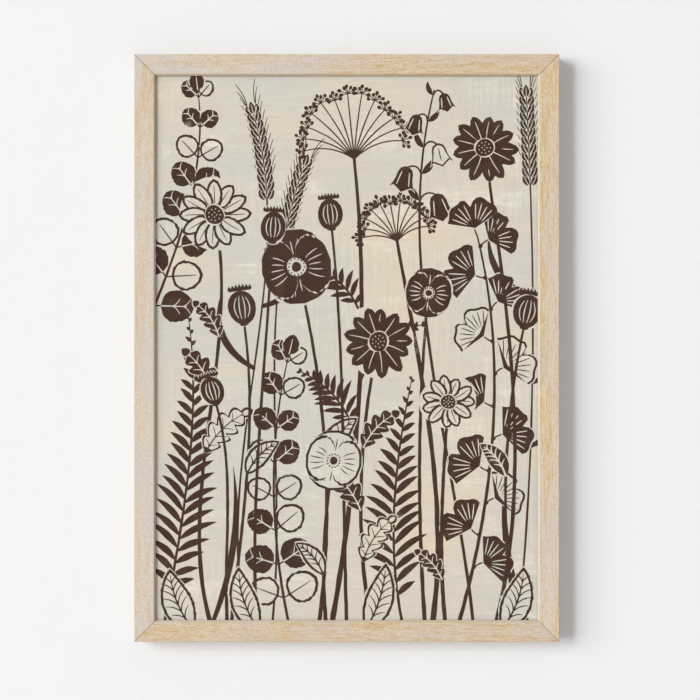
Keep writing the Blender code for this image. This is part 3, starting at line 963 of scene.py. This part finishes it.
def on_sheet(point):
    """A point of the drawing as X and Z in metres."""
    return Vector((point.real * MM, SHEET_LOW.z + point.imag * MM))


def outline_in_order(outline):
    """The outline's points on the sheet, taken anticlockwise."""
    points = [on_sheet(p) for p in outline]
    twice_area = sum(a.x * b.y - b.x * a.y for a, b in zip(points, points[1:] + points[:1]))
    return points if twice_area > 0 else points[::-1]


def sheet_solid(areas):
    """A closed sheet whose front is parted along the edges of the drawing's areas."""
    corners = [(SHEET_LOW.x, SHEET_LOW.z), (SHEET_HIGH.x, SHEET_LOW.z)]
    corners += [(SHEET_HIGH.x, SHEET_HIGH.z), (SHEET_LOW.x, SHEET_HIGH.z)]
    outlines = [[Vector(p) for p in corners]] + [outline_in_order(outline) for outline, _ in areas]
    kinds = [GROUND] + [kind for _, kind in areas]
    points, faces = [], []
    for outline in outlines:
        faces.append(list(range(len(points), len(points) + len(outline))))
        points += outline
    output_all, same_point = 0, 1e-7
    spots, _, parts, _, _, sources = delaunay_2d_cdt(points, [], faces, output_all, same_point)
    solid = bmesh.new()
    front = [solid.verts.new((p.x, SHEET_LOW.y, p.y)) for p in spots]
    for part, source in zip(parts, sources):
        if 0 in source:
            face = solid.faces.new([front[i] for i in part])
            face.material_index = kinds[max(source)]
    for vertex in [v for v in solid.verts if not v.link_faces]:
        solid.verts.remove(vertex)
    rim = [e for e in solid.edges if len(e.link_faces) == 1]
    walls = bmesh.ops.extrude_edge_only(solid, edges=rim)["geom"]
    for vertex in walls:
        if isinstance(vertex, bmesh.types.BMVert):
            vertex.co.y = SHEET_HIGH.y
    back_rim = [e for e in walls if isinstance(e, bmesh.types.BMEdge)]
    bmesh.ops.edgeloop_fill(solid, edges=back_rim)
    bmesh.ops.recalc_face_normals(solid, faces=solid.faces)
    map_sheet(solid)
    return solid


# Where the sheet's faces lie on its map, which runs from 0 to 1: left, bottom, width and height.
FRONT_PATCH = (0.004, 0.004, 0.70, 0.99)
BACK_PATCH = (0.73, 0.004, 0.26, 0.368)
RIM_PATCH = (0.73, 0.42, 0.26, 0.08)
RIM_STRIPS = 4


def on_patch(patch, across, up):
    """The place on the map of a point that lies these shares across and up a patch."""
    left, bottom, width, height = patch
    return left + width * across, bottom + height * up


def map_sheet(solid):
    """Lays the front flat on its patch of the map, then the back, and the rim as four strips."""
    layer = solid.loops.layers.uv.new("OFBake")
    solid.normal_update()
    middle_y = (SHEET_LOW.y + SHEET_HIGH.y) / 2
    for face in solid.faces:
        normal = face.normal
        on_rim = abs(normal.y) < 0.5
        if on_rim:
            face.material_index = GROUND
        for loop in face.loops:
            point = loop.vert.co
            right = (point.x - SHEET_LOW.x) / SHEET_WIDTH
            up = (point.z - SHEET_LOW.z) / SHEET_HEIGHT
            if on_rim:
                level = abs(normal.z) > 0.5
                strip = 2 * level + (normal.x + normal.z > 0)
                behind = 0.5 * (point.y > middle_y)
                place = on_patch(RIM_PATCH, right if level else up, (strip + behind) / RIM_STRIPS)
            else:
                place = on_patch(FRONT_PATCH if normal.y < 0 else BACK_PATCH, right, up)
            loop[layer].uv = place


def print_sheet():
    """Puts the drawn sheet in place of the plain one."""
    solid = sheet_solid(meadow())
    mesh = bpy.data.meshes.new("botanical_sheet")
    solid.to_mesh(mesh)
    solid.free()
    sheet = bpy.data.objects.new("botanical_sheet", mesh)
    bpy.context.scene.collection.objects.link(sheet)
    mesh.materials.append(paper())
    mesh.materials.append(ink())
    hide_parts("botanical_print")
    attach(sheet, "root")


# Stage, lights and camera.

WALL_DIM, WALL_PALE = (0.787, 0.795, 0.787), (0.792, 0.80, 0.792)
FLOOR_DIM, FLOOR_PALE = (0.76, 0.76, 0.76), (0.80, 0.80, 0.80)


def wall_finish():
    """A pale wall that is clear from behind, so that it doesn't hide the back of the frame."""
    s = Shader("studio_wall")
    mottle = s.noise(s.stretch(s.place(), (3, 3, 3)), detail=3.0)
    colour = s.mix(s.ramp(mottle, 0.3, 0.7), WALL_DIM, WALL_PALE)
    s.set(Base_Color=colour, Roughness=0.9, Specular_IOR_Level=0.0)
    from_behind = s.node("ShaderNodeNewGeometry").outputs["Backfacing"]
    clear = s.node("ShaderNodeBsdfTransparent").outputs[0]
    shown = s.blend(from_behind, s.surface.outputs[0], clear)
    s.feed(s.tree.nodes["Material Output"].inputs["Surface"], shown)
    return s.material


def floor_finish():
    """A plain pale floor."""
    s = Shader("studio_floor")
    mottle = s.noise(s.stretch(s.place(), (5, 5, 5)), detail=3.0)
    return s.set(Base_Color=s.mix(mottle, FLOOR_DIM, FLOOR_PALE), Roughness=0.85)


def stage_plane(name, place, turn, finish):
    """A large plane of the stage."""
    bpy.ops.mesh.primitive_plane_add(size=12.0, location=place, rotation=turn)
    plane = bpy.context.object
    plane.name = name
    plane.data.materials.append(finish)
    return plane


def stage():
    """A wall that casts no shadow and lights nothing, and a floor well below the frame."""
    wall_gap, floor_z = 0.2 * MM, -1.6
    wall = stage_plane("studio_wall", (0, wall_gap, 0), (math.pi / 2, 0, 0), wall_finish())
    wall.visible_shadow = False
    wall.visible_diffuse = False
    stage_plane("studio_floor", (0, 0, floor_z), (0, 0, 0), floor_finish())


def softbox(name, left, up, distance, width, height, watts):
    """A rectangle of light, seen from the picture at these degrees to the left and upwards.

    The distance, the width and the height are in metres.
    """
    data = bpy.data.lights.new(name, "AREA")
    data.shape = "RECTANGLE"
    data.size, data.size_y = width, height
    data.energy = watts
    light = bpy.data.objects.new(name, data)
    bpy.context.scene.collection.objects.link(light)
    side, rise = math.radians(left), math.radians(up)
    level = math.cos(rise)
    towards = Vector((-math.sin(side) * level, -math.cos(side) * level, math.sin(rise)))
    light.location = Vector((0, 0, MIDDLE_Z)) + distance * towards
    light.rotation_euler = (-towards).to_track_quat("-Z", "Y").to_euler()


def lights():
    """Soft light from the left and a little above, far enough to be even, in a pale surround."""
    softbox("key_strip", 35.5, 9, 24.0, 3.8, 13.0, 1510)
    softbox("key_soft", 49.5, 9, 24.0, 17.0, 13.0, 3950)
    softbox("back_fill", 195, 20, 5.0, 3.0, 3.0, 60)
    surround_colour, surround_strength = (1.0, 0.978, 1.012, 1.0), 0.5
    world = bpy.data.worlds.new("surround")
    bpy.context.scene.world = world
    world.use_nodes = True
    background = world.node_tree.nodes["Background"]
    background.inputs["Color"].default_value = surround_colour
    background.inputs["Strength"].default_value = surround_strength


def camera():
    """Straight on, a little to the right of the frame's middle and below it.

    The photo's 700 pixels are 750.2 mm wide in the plane of the frame's front.
    """
    data = bpy.data.cameras.new("camera")
    data.lens, data.sensor_width = 100, 36
    photo_width = 750.2 * MM
    offset_x, offset_z = 3.5 * MM, -2.2 * MM
    distance = photo_width * data.lens / data.sensor_width
    eye = bpy.data.objects.new("camera", data)
    bpy.context.scene.collection.objects.link(eye)
    eye.location = (offset_x, FRONT_Y - distance, MIDDLE_Z + offset_z)
    eye.rotation_euler = (math.pi / 2, 0, 0)
    bpy.context.scene.camera = eye


dress_nodes()
print_sheet()
stage()
lights()
camera()
bpy.context.scene.view_settings.view_transform = "Standard"
